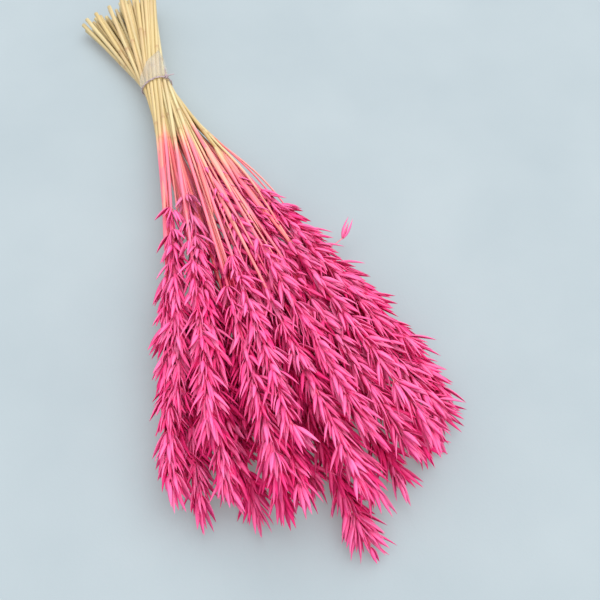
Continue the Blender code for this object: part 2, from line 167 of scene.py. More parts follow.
def waist_points(rng):
    """Stalk positions across the tie, packed into an ellipse, as (across, up)."""
    half = np.array([WAIST_HALF_WIDTH, WAIST_HALF_HEIGHT])
    pitch = 2 * TIE_RADIUS + STALK_GAP
    points = rng.uniform(-WAIST_START, WAIST_START, (OATS, 2)) * half
    first, second = np.triu_indices(OATS, 1)
    for _ in range(PACKING_STEPS):
        apart = points[first] - points[second]
        distance = np.maximum(np.linalg.norm(apart, axis=1), 1e-6)
        push = WAIST_PUSH * (np.maximum(pitch - distance, 0.0) / distance)[:, None] * apart
        np.add.at(points, first, push)
        np.add.at(points, second, -push)
        outside = np.maximum(np.linalg.norm(points / half, axis=1), 1.0)[:, None]
        points += PUSH * (points / outside - points)
    return points


def reaches(slopes):
    """Distance from the tie to the tip of each head: a stagger across the fan, and one longest oat.

    The short oats of the right side are shorter than those of the left.
    """
    reach = np.empty(OATS)
    for rank, oat in enumerate(np.argsort(slopes)):
        share = (rank * GOLDEN + SHARE_START) % 1.0
        swing = math.sin(TURN * (slopes[oat] / SWING_PERIOD + SWING_START))
        longest = REACH + REACH_SWING * swing
        edge = 1.0 - EDGE_SHORTER * (slopes[oat] / WIDEST_SLOPE) ** 2
        shortest = SHORTEST_REACH - SHORTER_RIGHT * slopes[oat] / WIDEST_SLOPE
        reach[oat] = edge * lerp(longest, shortest, share ** SHORT_SHARE_POWER)
    reach[np.argmin(abs(slopes - LONGEST_SLOPE))] = LONGEST_REACH
    return reach


def wanted_paths(waist):
    """(across, up) of every stalk at every station, before the stalks push each other apart."""
    along = np.array(STATIONS)
    slope = FAN_PER_HEIGHT * waist[:, 1:]
    bowed = (along > 0.0) & (slope < 0.0)
    bow = np.where(bowed, 1.0 - FAN_BOW * (1.0 - along / BOW_END), 1.0)
    back = (along < 0.0) & (slope > 0.0)
    across = waist[:, :1] + slope * along * bow * np.where(back, BACK_WIDER, 1.0)
    middle = np.interp(along, (BACK, 0.0, HEADS_AT), (CUT_END_HEIGHT, TIE_HEIGHT, HEAD_HEIGHT))
    up = middle + waist[:, 1:] + LIFT_PER_WIDTH * waist[:, :1] * along
    sag = EDGE_SAG * (across / EDGE_AT) ** 2 * clamp(along / HEADS_AT)
    return np.stack([across, up - sag], axis=-1)


def least_distance(along):
    """How far apart two stalks stay, middle to middle, at this distance from the tie."""
    near = 2 * TIE_RADIUS + STALK_GAP + 0.1
    return np.interp(along, (BACK, 0.0, 60.0, 300.0), (near + 0.4, near, near + 0.1, HEAD_SPACING))


def push_apart(paths, station, one, two):
    """Moves pairs of stalks that come too near between this station and the next."""
    run = STATIONS[station + 1] - STATIONS[station]
    before = paths[one, station] - paths[two, station]
    change = paths[one, station + 1] - paths[two, station + 1] - before
    share = -(before * change).sum(-1) / np.maximum((change * change).sum(-1), 1e-9)
    share = clamp(share)
    nearest = before + share[:, None] * change
    distance = np.maximum(np.linalg.norm(nearest, axis=1), 1e-6)
    steep = np.sqrt(1.0 + (np.linalg.norm(change, axis=1) / run) ** 2)
    room = steep * least_distance(STATIONS[station] + run * share)
    push = PUSH * (np.maximum(room - distance, 0.0) / distance)[:, None] * nearest
    for which, weight in ((station, 1.0 - share), (station + 1, share)):
        np.add.at(paths, (one, which), weight[:, None] * push)
        np.add.at(paths, (two, which), -weight[:, None] * push)


def settle(paths, reach):
    """Lets the stalks push each other apart while they stay near their places and above the table."""
    wanted = paths.copy()
    first, second = np.triu_indices(OATS, 1)
    lowest = (LOWEST_CUT_END, LOWEST_STALK, LOWEST_HEAD, LOWEST_HEAD)
    floor = np.interp(STATIONS, (BACK, 60.0, 250.0, FRONT), lowest)
    shorter = np.minimum(reach[first], reach[second])
    for step in range(FREE_STEPS + TIGHT_STEPS):
        if step < FREE_STEPS:
            paths += PULL * (wanted - paths)
            moved = paths - wanted
            paths[:, 1:-1] += STIFFNESS * (0.5 * (moved[:, :-2] + moved[:, 2:]) - moved[:, 1:-1])
        for station in range(len(STATIONS) - 1):
            live = shorter > STATIONS[station] - BEYOND_TIP
            push_apart(paths, station, first[live], second[live])
        paths[..., 1] = np.maximum(paths[..., 1], floor)
    return paths


def stalk_radius(along, tip):
    """A stalk thins from its cut end to its neck, and again to the tip of its head."""
    stops = (-CUT_REACH, 0.0, tip - HEAD_LENGTH, tip)
    return np.interp(along, stops, (CUT_RADIUS, TIE_RADIUS, NECK_RADIUS, TIP_RADIUS))


def ring_stations(cut, tip):
    """Distances along the bundle of a stalk's rings, and which of the rings start a node of the head."""
    neck = tip - HEAD_LENGTH
    rings = [cut] + [s for s in STATIONS[1:7] if s < neck - 15.0]
    rings += [s for s in STATIONS[7:9] if s < neck - 45.0]
    step = (HEAD_LENGTH - END_SPIKELET - NODE_LENGTH) / NODES
    starts = []
    for node in range(NODES):
        starts.append(len(rings))
        rings += [neck + step * node, neck + step * node + NODE_LENGTH]
    return rings + [tip - END_SPIKELET], starts


class Oat:
    """The layout of one oat: the middle, radius, heading and turn of each ring of its stalk."""

    def __init__(self, path, reach, cut, turn):
        fan = math.atan2(path[-1, 0] - path[3, 0], FRONT)
        tip = reach * math.cos(fan)
        self.along, self.starts = ring_stations(cut, tip)
        across = np.interp(self.along, STATIONS, path[:, 0])
        up = np.interp(self.along, STATIONS, path[:, 1])
        self.points = np.stack([across, -np.array(self.along), up], axis=1)
        self.radii = stalk_radius(self.along, tip)
        self.turns = [turn] * len(self.along)
        for number, start in enumerate(self.starts):
            for ring in range(start, len(self.along)):
                self.turns[ring] = turn + number * math.pi / STALK_SIDES
        ends = np.concatenate([self.points[:1], self.points, self.points[-1:]])
        self.headings = [unit(after - before) for before, after in zip(ends, ends[2:])]

    def around(self, ring, angle):
        """The direction square to the stalk at this angle round it, starting from above."""
        heading = self.headings[ring]
        up = unit(UP - heading[2] * heading)
        return math.cos(angle) * up + math.sin(angle) * np.cross(heading, up)

    def ring(self, index):
        """Corners of one ring."""
        angles = self.turns[index] + TURN * np.arange(STALK_SIDES) / STALK_SIDES
        around = np.array([self.around(index, angle) for angle in angles])
        return self.points[index] + self.radii[index] * around

    def end_spikelet(self):
        """The widest section and the tip of the spikelet that ends the head."""
        end, heading = self.points[-1], self.headings[-1]
        return end + END_BELLY * heading, end + END_SPIKELET * heading

    def runs(self):
        """Tapered rods that stand for the stalk when room is measured: start, end and the two radii."""
        points = np.array([*self.points, *self.end_spikelet()])
        thick = END_WIDER * TIP_RADIUS + 0.2
        radii = [*self.radii[:-1], TIP_RADIUS, thick], [*self.radii[1:], thick, 0.1]
        return np.column_stack([points[:-1], points[1:], *radii])

    def at(self, along):
        """The middle of the stalk at this distance from the tie."""
        return np.array([np.interp(along, self.along, self.points[:, axis]) for axis in range(3)])


class Spikelet:
    """A pair of glumes on a short neck, raised from one side of the stalk at a node of the head."""

    def __init__(self, oat, ring, face, rng):
        self.ring = ring
        self.face = face
        corners = np.concatenate([oat.ring(ring), oat.ring(ring + 1)])
        pick = [face, (face + 1) % STALK_SIDES]
        self.root = corners[pick + [STALK_SIDES + p for p in pick]].mean(axis=0)
        self.heading = oat.headings[ring]
        swing = math.radians(rng.uniform(-SIDEWAYS, SIDEWAYS))
        lean = math.radians(rng.uniform(*LEAN))
        outward = oat.around(ring, oat.turns[ring] + TURN * (face + 0.5) / STALK_SIDES)
        outward = math.cos(swing) * outward + math.sin(swing) * np.cross(self.heading, outward)
        roll = math.radians(rng.uniform(-MOST_ROLL, MOST_ROLL))
        self.grow(outward, lean, roll, rng.uniform(*NECK_LENGTH), rng.uniform(*GLUME_LENGTH), 0.0)

    def grow(self, outward, lean, roll, neck, glume, lowest):
        """Lays out the widest section and the two tips, which stay at least this high."""
        self.axis = math.cos(lean) * self.heading + math.sin(lean) * outward
        across = np.cross(self.heading, outward)
        inward = math.sin(lean) * self.heading - math.cos(lean) * outward
        self.side = math.cos(roll) * across + math.sin(roll) * inward
        self.flat = math.cos(roll) * inward - math.sin(roll) * across
        self.belly = self.root + neck * self.axis
        middle = self.belly + glume * self.axis
        self.tips = np.array([middle - SPREAD * self.side, middle + SPREAD * self.side])
        self.tips[:, 2] = np.maximum(self.tips[:, 2], lowest)

    def belly_corners(self):
        """The four corners of the widest section: wide along side, thin along flat."""
        wide = HALF_WIDTH * self.side
        thin = HALF_THICKNESS * self.flat
        return self.belly + np.array([-wide, -thin, wide, thin])

    def runs(self):
        """Tapered rods that stand for this shape: the neck in two lengths, and the two glumes."""
        middle = 0.5 * (self.root + self.belly)
        halves = self.belly + 0.5 * HALF_WIDTH * np.array([[-1.0], [1.0]]) * self.side
        thick = 0.5 * (HALF_WIDTH + 1.0)
        return np.array([
            [*self.root, *middle, 1.0, thick],
            [*middle, *self.belly, thick, HALF_WIDTH],
            [*halves[0], *self.tips[0], thick, POINT_RADIUS],
            [*halves[1], *self.tips[1], thick, POINT_RADIUS],
        ])


def parted(rods):
    """The starts, the ends and the radii of rods."""
    return rods[:, :3], rods[:, 3:6], rods[:, 6:]


class Room:
    """Every rod placed so far, with the number of its oat and whether it is bare stem."""

    def __init__(self):
        self.rods = np.zeros((0, 8))
        self.owner = np.zeros(0, int)
        self.stem = np.zeros(0, bool)

    def add(self, item, owner):
        """Adds the rods of an oat, all bare stem, or of a spikelet, where only the first one is."""
        rods = item.runs()
        self.rods = np.concatenate([self.rods, rods])
        self.owner = np.append(self.owner, [owner] * len(rods))
        self.stem = np.append(self.stem, [True] + [isinstance(item, Oat)] * (len(rods) - 1))

    def near(self, point, within):
        """Which rods come within this distance of a point."""
        start, end, _ = parted(self.rods)
        half = 0.5 * np.linalg.norm(end - start, axis=1)
        return np.linalg.norm(0.5 * (start + end) - point, axis=1) - half < within

    def gaps(self, rods, chosen):
        """The gap between each of these rods and each chosen rod of the room."""
        starts, ends, radii = parted(rods)
        other_starts, other_ends, other_radii = parted(self.rods[chosen])
        one = (ends - starts)[:, None]
        two = other_ends - other_starts
        apart = starts[:, None] - other_starts
        length_one = (one * one).sum(-1)
        length_two = (two * two).sum(-1)
        both = (one * two).sum(-1)
        on_one = (one * apart).sum(-1)
        on_two = (two * apart).sum(-1)
        square = np.maximum(length_one * length_two - both ** 2, 1e-9)
        share = clamp((both * on_two - on_one * length_two) / square)
        other = clamp((both * share + on_two) / length_two)
        share = clamp((both * other - on_one) / length_one)
        nearest = apart + share[..., None] * one - other[..., None] * two
        thick = lerp(radii[:, :1], radii[:, 1:], share)
        thick = thick + lerp(other_radii[:, 0], other_radii[:, 1], other)
        return np.linalg.norm(nearest, axis=-1) - thick

    def clear(self, spikelet, owner, gap, free_neck=False):
        """Whether a spikelet keeps this gap. Its neck may touch its own oat, or all where it is free."""
        chosen = self.near(spikelet.belly, GLUME_LENGTH[1] + 2 * SPREAD)
        own = self.owner[chosen] == owner
        allowed = np.full((4, chosen.sum()), gap)
        allowed[0, own | free_neck] = -np.inf
        allowed[1, own & self.stem[chosen]] = -np.inf
        return bool((self.gaps(spikelet.runs(), chosen) > allowed).all())

    def fits(self, spikelet, owner):
        """Whether a spikelet of the model stays clear of the table and of every rod."""
        low = min(spikelet.belly_corners()[:, 2].min(), spikelet.root[2])
        return low >= LEAST_HEIGHT and self.clear(spikelet, owner, SPIKELET_GAP)


def lay_stalks(rng, room):
    waist = waist_points(rng)
    slopes = FAN_PER_HEIGHT * waist[:, 1]
    reach = reaches(slopes)
    oats = []
    for number, path in enumerate(settle(wanted_paths(waist), reach)):
        cut = -CUT_REACH * math.cos(math.atan(slopes[number]))
        cut += rng.uniform(-CUT_SCATTER, CUT_SCATTER)
        oat = Oat(path, reach[number], cut, rng.uniform(0, TURN))
        room.add(oat, number)
        oats.append(oat)
    return oats


def lay_out():
    """Every oat of the bundle, and the spikelets that have room on each."""
    rng = np.random.default_rng(SEED)
    room = Room()
    oats = lay_stalks(rng, room)
    placed = [[] for _ in oats]
    places = [(number, node) for number in range(OATS) for node in range(NODES)]
    for _ in range(SPIKELETS_PER_NODE):
        for index in rng.permutation(len(places)):
            number, node = places[index]
            ring = oats[number].starts[node]
            used = {s.face for s in placed[number] if s.ring == ring}
            free = [face for face in range(STALK_SIDES) if face not in used]
            for _ in range(TRIES):
                spikelet = Spikelet(oats[number], ring, free[rng.integers(len(free))], rng)
                if room.fits(spikelet, number):
                    room.add(spikelet, number)
                    placed[number].append(spikelet)
                    break
    return oats, placed


def middle_of(oats, placed):
    """The middle of the whole bundle seen from above, in the layout."""
    spots = [oat.ring(k) for oat in oats for k in range(len(oat.points))]
    spots += [oat.end_spikelet() for oat in oats]
    spots += [[*s.belly_corners(), *s.tips] for spikelets in placed for s in spikelets]
    spots = np.concatenate(spots)
    return 0.5 * (spots.min(axis=0) + spots.max(axis=0))


def outline_at(oats, along, outside):
    """Corners, as (across, up), of an outline that passes this far outside the middles of all stalks."""
    here = np.array([oat.at(along) for oat in oats])[:, [0, 2]]
    centre = here.mean(axis=0)
    facing = circle(TIE_SIDES)
    reach = (facing @ (here - centre).T).max(axis=1) + outside
    after = np.roll(facing, -1, axis=0)
    after_reach = np.roll(reach, -1)
    turn = facing[:, 0] * after[:, 1] - facing[:, 1] * after[:, 0]
    across = (reach * after[:, 1] - after_reach * facing[:, 1]) / turn
    up = (facing[:, 0] * after_reach - after[:, 0] * reach) / turn
    return centre + np.stack([across, up], axis=1)


# What is finer here than in the model: the straws
STRAW_SIDES = 9
STRAW_FULLER = 1.12
STRAW_STEP = 14.0
JOINTS = ((-70.0, -15.0), (45.0, 90.0), (150.0, 210.0))
JOINT_SWELL = 0.22
JOINT_WIDTH = 1.6
JOINT_EDGE = 2.2
HOLLOW_DEPTH = 6.0
HOLLOW_RADII = (0.5, 0.62)
# how dark the hollow of a cut end is painted, deepest first: painted shade
HOLLOW_SHADE = (0.6, 0.3)
LAYERED_DYE = (0.55, 0.9)
OPEN_DYE = (0.4, 0.8)
TOP_LAYER = 24.0
HALFWAY = 120.0
RIGHT_SIDE = 30.0

# Further stalks and leaf blades
FILLER_THINNER = 0.8
FILLER_LOWER = 1.2
FILLER_HIDDEN = 70.0
FILLER_RINGS = 40
BULGE_ALONG, BULGE_LONG = 148.0, 66.0
BULGES = (10.0, 7.5, 5.0, 8.0, 3.0, 6.0, 4.0)
MOST_BLADES = 2
BLADE_START = (95.0, 150.0)
BLADE_LENGTH = (60.0, 95.0)
BLADE_WIDTH = (3.5, 7.0)

# Glumes
GLUME_FULL = 27.5
GLUME_WIDE = 4.5
GLUME_DEEP = 0.46
GLUME_SKIN = 0.09
GLUME_STOPS = np.array([0.02, 0.1, 0.24, 0.42, 0.6, 0.78, 0.92, 0.995])
GLUME_WIDEST = 0.36
GLUME_ANGLES = np.radians([-92, -48, 0, 48, 92])

# Spikelets that the model leaves out
EXTRA_PER_HEAD = 69
EXTRA_TRIES = 10
EXTRA_OVERLAP = -2.9
EXTRA_TOWARDS_TIP = 0.8
EXTRA_NECK = (7.0, 22.0)
EXTRA_GLUME = (13.0, 16.0)
EXTRA_LEAN = (7.0, 27.0)
EXTRA_LOWEST = 2.5
EARLY_LONGEST = 72.0
LOW_LAYER = 26.0
STRAY_ALONG = 246.0
STRAY_FOOT = np.array([92.0, -256.0, 24.0])
STRAY_TIP = np.array([117.5, -228.0, 26.0])

# What the materials read on each point, and the ranges that it is drawn from
VALUES = ("dye", "tone", "joint_mark_and_hollow_shade", "painted_shade", "dust")
COVER_RADIUS = 11.0
COVER_HEIGHT = 4.0
COVER_FULL = 6.0
EARLY_ONSET, EARLY_FADE = (56.0, 80.0), (14.0, 46.0)
LATE_ONSET, LATE_FADE = (70.0, 100.0), (40.0, 90.0)
LATER_RIGHT = 20.0
DUSTY, CLEAN = (0.3, 0.7), (0.0, 0.12)
DUSTY_LENGTH = 110.0

# The strands and the film of the tie
ROPE_SIDES = 8
CORD_TWISTS = 9
STRAND_RADIUS = 0.46
STRAND_OFFSET = 0.38
FILM_INSIDE, FILM_OUTSIDE = 0.3, 0.5
FILM_SHORT, FILM_LONG = 5.0, 36.0
FILM_PEAK = 0.75
FILM_ROWS = 7
LOOP_TILTS = (-0.5, 0.15, 0.75)
LOOP_STEP = 0.95
LOOP_RADIUS = 1.75
LOOP_STRAND = 0.62


def row_unit(rows):
    return rows / np.maximum(np.linalg.norm(rows, axis=-1, keepdims=True), 1e-9)


def square_to(ahead, wanted):
    """The direction nearest to the wanted one that is square to the way ahead."""
    return row_unit(wanted - (wanted * ahead).sum(-1, keepdims=True) * ahead)


def humps(spots, centres, width):
    """A smooth rise to 1 at each centre, and nothing far from them."""
    return np.exp(-((spots[:, None] - centres) / width) ** 2).sum(axis=1)


def curve(start, bend, end, stops):
    """Points and directions on the curves from start to end that are pulled towards bend."""
    t = np.asarray(stops)[:, None]
    start, bend, end = start[:, None], bend[:, None], end[:, None]
    points = (1 - t) ** 2 * start + 2 * t * (1 - t) * bend + t ** 2 * end
    return points, row_unit((1 - t) * (bend - start) + t * (end - bend))


def rings(points, radii, one, two, profile):
    """A ring of corners round each point. The profile gives them as shares of two directions."""
    corners = profile[:, :1] * one[..., None, :] + profile[:, 1:] * two[..., None, :]
    return points[..., None, :] + radii[..., None, None] * corners


def smooth_path(oat, spots):
    """Points of the stalk at these distances along it, on a curve through its rings."""
    along = np.array(oat.along)
    keep = np.concatenate([[True], np.diff(along) > 1.5 * NODE_LENGTH])
    keep[-1] = True
    along, points = along[keep], oat.points[keep]
    slopes = np.gradient(points, along, axis=0)
    index = np.clip(np.searchsorted(along, spots) - 1, 0, len(along) - 2)
    run = (along[index + 1] - along[index])[:, None]
    t = (spots - along[index])[:, None] / run
    return (
        (2 * t ** 3 - 3 * t ** 2 + 1) * points[index]
        + (t ** 3 - 2 * t ** 2 + t) * slopes[index] * run
        + (-2 * t ** 3 + 3 * t ** 2) * points[index + 1]
        + (t ** 3 - t ** 2) * slopes[index + 1] * run
    )


def stand(name, data, back=None):
    """Puts an object in the scene. back is the direction behind a lamp or a camera."""
    obj = bpy.data.objects.new(name, data)
    bpy.context.scene.collection.objects.link(obj)
    if back:
        obj.rotation_euler = back.to_track_quat("Z", "Y").to_euler()
    return obj


class Shape:
    """Points and faces gathered for one piece, with a place on the surface and a material for each face."""

    def __init__(self):
        self.points, self.faces, self.values = [], [], []
        self.count = 0

    def add_grid(self, grid, slot, values, around=None, closed_ends=True, along=1.0):
        """A stack of closed rings, shaped (pieces, rings, sides, 3), with a point in the middle of each end.

        values follows the order of VALUES: one number, or one for each piece or each of its rings. What is
        left out is 0. around says where each side lies on the surface, and along how long the surface is.
        """
        pieces, count, sides, _ = grid.shape
        around = np.linspace(0, 1, sides + 1) if around is None else around
        spread = np.zeros((pieces, count, sides, len(VALUES)))
        for index, value in enumerate(values):
            spread[..., index] = np.reshape(value, np.shape(value) + (1,) * (3 - np.ndim(value)))
        body, kept = grid.reshape(pieces, count * sides, -1), spread.reshape(pieces, count * sides, -1)
        if closed_ends:
            body = np.concatenate([body, grid[:, [0, -1]].mean(axis=2)], axis=1)
            kept = np.concatenate([kept, spread[:, [0, -1], 0]], axis=1)
        each = body.shape[1]
        offsets = self.count + each * np.arange(pieces)[:, None, None]

        def add_faces(faces, maps):
            faces = faces.reshape(-1, faces.shape[-1])
            maps = maps.reshape(*faces.shape, 2) * (1.0, along)
            sizes = np.full(pieces * len(faces), faces.shape[1])
            maps = np.tile(maps.ravel(), pieces)
            self.faces.append(((faces + offsets).ravel(), maps, sizes, np.full(len(sizes), slot)))

        side = np.arange(sides)
        after = (side + 1) % sides
        low = np.arange(count - 1)[:, None]
        high = (low + 1) * sides
        u0, u1 = around[:-1], around[1:]
        v0, v1 = low / (count - 1), (low + 1) / (count - 1)
        quads = np.stack([low * sides + side, low * sides + after, high + after, high + side], axis=-1)
        add_faces(quads, np.stack(np.broadcast_arrays(u0, v0, u1, v0, u1, v1, u0, v1), axis=-1))
        if closed_ends:
            middle, hub, last = 0.5 * (u0 + u1), count * sides, (count - 1) * sides
            start = np.broadcast_arrays(hub, after, side)
            stop = np.broadcast_arrays(hub + 1, last + side, last + after)
            foot = np.broadcast_arrays(middle, 0.0, u1, 0.0, u0, 0.0)
            top = np.broadcast_arrays(middle, 1.0, u0, 1.0, u1, 1.0)
            for faces, maps in ((start, foot), (stop, top)):
                add_faces(np.stack(faces, axis=1), np.stack(maps, axis=1))
        self.points.append(body.reshape(-1, 3))
        self.values.append(kept.reshape(-1, len(VALUES)))
        self.count += pieces * each

    def build(self, name, shift, materials, onset=0.0, fade=1.0):
        """One object. Its dye grows from nothing at onset to full over the fade, in mm from the tie."""
        points = np.concatenate(self.points)
        values = np.concatenate(self.values)
        away = np.where(points[:, 1] < 0.0, np.linalg.norm(points[:, :2], axis=1), 0.0)
        share = clamp((away - onset) / fade)
        values[:, 0] *= share * share * (3.0 - 2.0 * share)
        points = np.clip((points - shift) * MM, cad_box[0], cad_box[1])
        corners, maps, sizes, slots = (np.concatenate(part) for part in zip(*self.faces))
        mesh = bpy.data.meshes.new(name)
        mesh.vertices.add(len(points))
        mesh.vertices.foreach_set("co", points.astype(np.float32).ravel())
        mesh.loops.add(len(corners))
        mesh.loops.foreach_set("vertex_index", corners.astype(np.int32))
        mesh.polygons.add(len(sizes))
        mesh.polygons.foreach_set("loop_start", (np.cumsum(sizes) - sizes).astype(np.int32))
        mesh.polygons.foreach_set("material_index", slots.astype(np.int32))
        mesh.update(calc_edges=True)
        mesh.uv_layers.new(name="UVMap").data.foreach_set("uv", maps.astype(np.float32))
        for material in materials:
            mesh.materials.append(material)
        for index, key in enumerate(VALUES):
            held = mesh.attributes.new(key, "FLOAT", "POINT")
            held.data.foreach_set("value", values[:, index].astype(np.float32))
        mesh.validate()
        mesh.shade_smooth()
        return stand(name, mesh)


class Filler(Oat):
    """A thinner stalk between two oats, cut with them and lost in the heads at its far end."""

    def __init__(self, one, two, bulge, rng):
        start = max(one.along[0], two.along[0]) + rng.uniform(0.0, 8.0)
        neck = min(one.along[one.starts[0]], two.along[two.starts[0]])
        self.along = np.linspace(start, neck + FILLER_HIDDEN, FILLER_RINGS)
        self.points = np.array([0.5 * (one.at(spot) + two.at(spot)) for spot in self.along])
        self.points[:, 0] += bulge * humps(self.along, [BULGE_ALONG], BULGE_LONG)
        self.points[:, 2] = np.maximum(self.points[:, 2] - FILLER_LOWER, 2.2)
        self.starts = [int(np.searchsorted(self.along, neck))]
        self.turns = [rng.uniform(0, math.pi)]


def fillers(oats):
    """One more stalk beside each oat, and a few that bow out on the right."""
    rng = np.random.default_rng(SEED + 3)
    middles = np.array([oat.at(HALFWAY) for oat in oats])
    pairs = set()
    added = [[] for _ in oats]
    for number, middle in enumerate(middles):
        nearest = np.argsort(np.linalg.norm(middles - middle, axis=1))[1:]
        other = next(other for other in nearest if (other, number) not in pairs)
        pairs.add((number, other))
        added[number].append(Filler(oats[number], oats[other], 0.0, rng))
    for number, bulge in zip(np.argsort(-middles[:, 0]), BULGES):
        added[number].append(Filler(oats[number], oats[number], bulge, rng))
    return added


def covered(spots, cover):
    """How much painted shade each spot gets, from 0 to 1, by how many spikelets lie over it."""
    apart = cover - spots[:, None]
    near = np.hypot(apart[..., 0], apart[..., 1]) < COVER_RADIUS
    return np.minimum((near & (apart[..., 2] > COVER_HEIGHT)).sum(axis=1) / COVER_FULL, 1.0)


def straw(shape, oat, thinner, cover, rng):
    """The stalk as a smooth tube with swollen joints and a hollow cut end."""
    start, end = oat.along[0], oat.along[-1]
    joints = np.array([rng.uniform(*span) for span in JOINTS])
    joints = joints[joints < end - 30.0]
    near = [joints - JOINT_EDGE, joints, joints + JOINT_EDGE]
    spots = np.unique(np.round(np.concatenate([np.arange(start, end, STRAW_STEP), [end], *near]), 2))
    points = smooth_path(oat, spots)
    radii = stalk_radius(spots, end + END_SPIKELET) * STRAW_FULLER * thinner
    radii = radii * (1 + JOINT_SWELL * humps(spots, joints, JOINT_WIDTH))
    headings = row_unit(np.gradient(points, axis=0))
    points = np.concatenate([[points[0] + HOLLOW_DEPTH * headings[0], points[0]], points])
    headings = np.concatenate([headings[:1], headings[:1], headings])
    radii = np.concatenate([radii[0] * np.array(HOLLOW_RADII), radii])
    up = square_to(headings, UP)
    grid = rings(points, radii, up, np.cross(headings, up), circle(STRAW_SIDES, oat.turns[0]))
    # darker joints in their own colour, and painted shade in the hollow of the cut end
    joint_mark_and_hollow_shade = np.concatenate([HOLLOW_SHADE, humps(spots, joints, JOINT_EDGE)])
    neck = oat.along[oat.starts[0]]
    half = oat.at(HALFWAY)
    layered = half[2] < TOP_LAYER and half[0] < RIGHT_SIDE
    low = rng.uniform(*(LAYERED_DYE if layered else OPEN_DYE))
    strength = np.interp(spots, (neck - 40.0, neck + 50.0), (low, 1.0))
    strength = np.concatenate([[0.0, 0.0], strength])
    # the fourth value is the painted shade from the spikelets over each ring
    values = (strength[None], rng.uniform(0, 1), joint_mark_and_hollow_shade[None], covered(points, cover)[None])
    shape.add_grid(grid[None], 0, values, along=(end - start) / 100.0)


def glumes(shape, bases, tips, keels, widths, bows, slot, values):
    """Boat-shaped papery glumes: a keel, two sides that curl in, and a long point."""
    points, ahead = curve(bases, 0.5 * (bases + tips) + bows * keels, tips, GLUME_STOPS)
    keel = square_to(ahead, keels[:, None])
    before = np.maximum(1 - GLUME_STOPS / GLUME_WIDEST, 0.0)
    beyond = np.maximum(GLUME_STOPS - GLUME_WIDEST, 0.0) / (1 - GLUME_WIDEST)
    wide = np.maximum(1 - 0.86 * before ** 2 - beyond ** 1.7, 0.02)
    sideways = np.append(0.5 * np.sin(GLUME_ANGLES), 0.0)
    outward = np.append(GLUME_DEEP * np.cos(GLUME_ANGLES), GLUME_DEEP - GLUME_SKIN)
    profile = np.stack([sideways, outward], axis=1)
    grid = rings(points, wide * widths, np.cross(ahead, keel), keel, profile)
    shape.add_grid(grid, slot, values, around=np.arange(7) / 4)


def florets(shape, bases, ends, sides, slot, values):
    """The closed husk between two glumes."""
    points, ahead = curve(bases, 0.5 * (bases + ends), ends, np.linspace(0, 1, 5))
    side = square_to(ahead, sides[:, None])
    thick = np.array([[0.45, 1.05, 1.25, 0.75, 0.12]])
    shape.add_grid(rings(points, thick, side, np.cross(ahead, side), circle(5, flat=0.8)), slot, values)


def pedicels(shape, roots, bases, headings, slot, values):
    """Thin stems from the stalk to each spikelet, which leave it close to its own direction."""
    length = np.linalg.norm(bases - roots, axis=1, keepdims=True)
    points, ahead = curve(roots, roots + 0.5 * length * headings, bases, np.linspace(0, 1, 4))
    up = row_unit(np.cross(ahead, np.array([0.31, 0.2, 0.93])))
    thick = np.array([0.5, 0.34, 0.3, 0.42]) * np.clip(length / 20.0, 1.0, 1.8)
    shape.add_grid(rings(points, thick, up, np.cross(ahead, up), circle(4)), slot, values)


def blades(shape, oat, cover, rng):
    """Narrow leaf blades that lie along the stalk below its head."""
    count = rng.integers(0, MOST_BLADES + 1)
    if count == 0:
        return
    starts = rng.uniform(*BLADE_START, count)
    bases = np.array([oat.at(start) for start in starts])
    tips = np.array([oat.at(start + rng.uniform(*BLADE_LENGTH)) for start in starts])
    tips[:, 0] += rng.uniform(-8.0, 8.0, count)
    tips[:, 2] = np.maximum(tips[:, 2] + rng.uniform(-3.0, 2.0, count), 1.0)
    keels = row_unit(np.stack([rng.uniform(-0.6, 0.6, count), np.zeros(count), np.ones(count)], axis=1))
    widths = rng.uniform(*BLADE_WIDTH, (count, 1))
    # painted shade from the spikelets over each blade
    painted_shade = covered(0.5 * (bases + tips), cover)
    values = (rng.uniform(0.3, 0.9, count), rng.uniform(0, 1, count), 0.0, painted_shade)
    glumes(shape, bases, tips, keels, widths, rng.uniform(0.5, 2.5, (count, 1)), 0, values)


class Extra(Spikelet):
    """A spikelet that the model leaves out, on its own thin stem between two nodes of the head."""

    def __init__(self, oat, rng):
        half = oat.at(HALFWAY)
        early = EARLY_LONGEST * clamp(half[0] / RIGHT_SIDE) if half[2] > TOP_LAYER else 0.0
        share = rng.uniform() ** EXTRA_TOWARDS_TIP
        along = lerp(oat.along[oat.starts[0]] + 4.0 - early, oat.along[-1] + 2.0, share)
        ring = int(np.clip(np.searchsorted(oat.along, along) - 1, 0, len(oat.along) - 1))
        self.heading = oat.headings[ring]
        self.root = oat.at(along)
        outward = oat.around(ring, rng.uniform(0, TURN))
        left = clamp(-self.root[0] / 50.0)
        under = clamp(1.4 - self.root[2] / LOW_LAYER)
        lean = math.radians(rng.uniform(EXTRA_LEAN[0], EXTRA_LEAN[1] + 8.0 * left + 14.0 * under))
        roll = rng.uniform(0, math.pi)
        self.grow(outward, lean, roll, rng.uniform(*EXTRA_NECK), rng.uniform(*EXTRA_GLUME), 0.4)


class Stray(Spikelet):
    """The one spikelet that has bent back on its stem and sticks out of the right-hand edge."""

    def __init__(self, oat):
        self.root = oat.at(STRAY_ALONG)
        self.axis = unit(STRAY_TIP - STRAY_FOOT)
        self.heading = unit(STRAY_FOOT - self.root)
        self.side = unit(np.cross(self.axis, np.array([0.3, 0.2, 1.0])))
        self.belly = lerp(STRAY_FOOT, STRAY_TIP, 0.4)
        self.tips = STRAY_TIP + np.array([[-0.5], [0.5]]) * self.side


class End(Spikelet):
    """The spikelet that ends the head."""

    def __init__(self, oat):
        self.root = oat.points[-1]
        self.axis = self.heading = oat.headings[-1]
        self.side = oat.around(-1, 1.0)
        self.tips = np.array([oat.end_spikelet()[1]] * 2)


